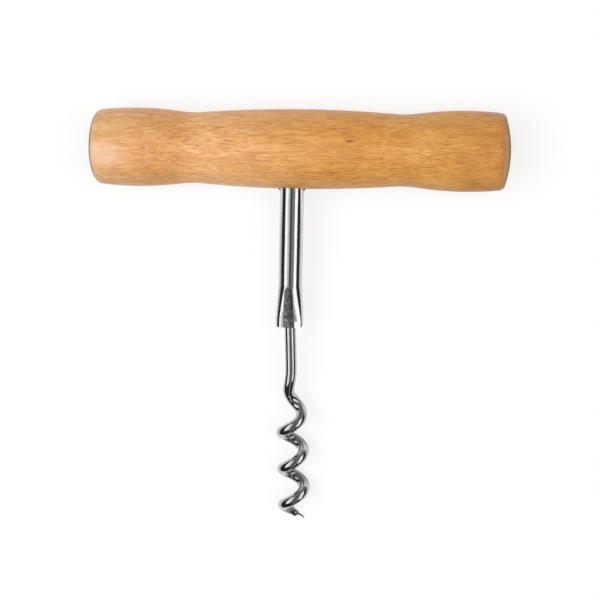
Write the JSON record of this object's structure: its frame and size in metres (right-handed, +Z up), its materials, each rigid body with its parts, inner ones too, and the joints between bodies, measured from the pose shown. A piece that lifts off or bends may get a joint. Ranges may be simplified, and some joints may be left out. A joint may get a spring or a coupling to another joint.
{
  "type": "corkscrew",
  "caption": "T-handle corkscrew: a turned wooden handle, a steel tube squeezed onto a right-hand wire worm, lying on its back.",
  "frame": {"origin": "middle of the bounding box, on the surface that the corkscrew lies on", "axes": "+X along the handle, +Y from the worm towards the handle, +Z up out of the front of the tool as it lies on its back"},
  "size_m": [0.105, 0.1068, 0.0197],
  "materials": {
    "handle_wood": "light beech under a clear satin lacquer",
    "tube_chrome": "bright plated steel, rough where it is squeezed",
    "worm_chrome": "bright plated steel wire"
  },
  "bodies": {
    "root": {"handle": "handle_wood", "shank_tube": "tube_chrome", "worm": "worm_chrome"}
  },
  "joints": []
}
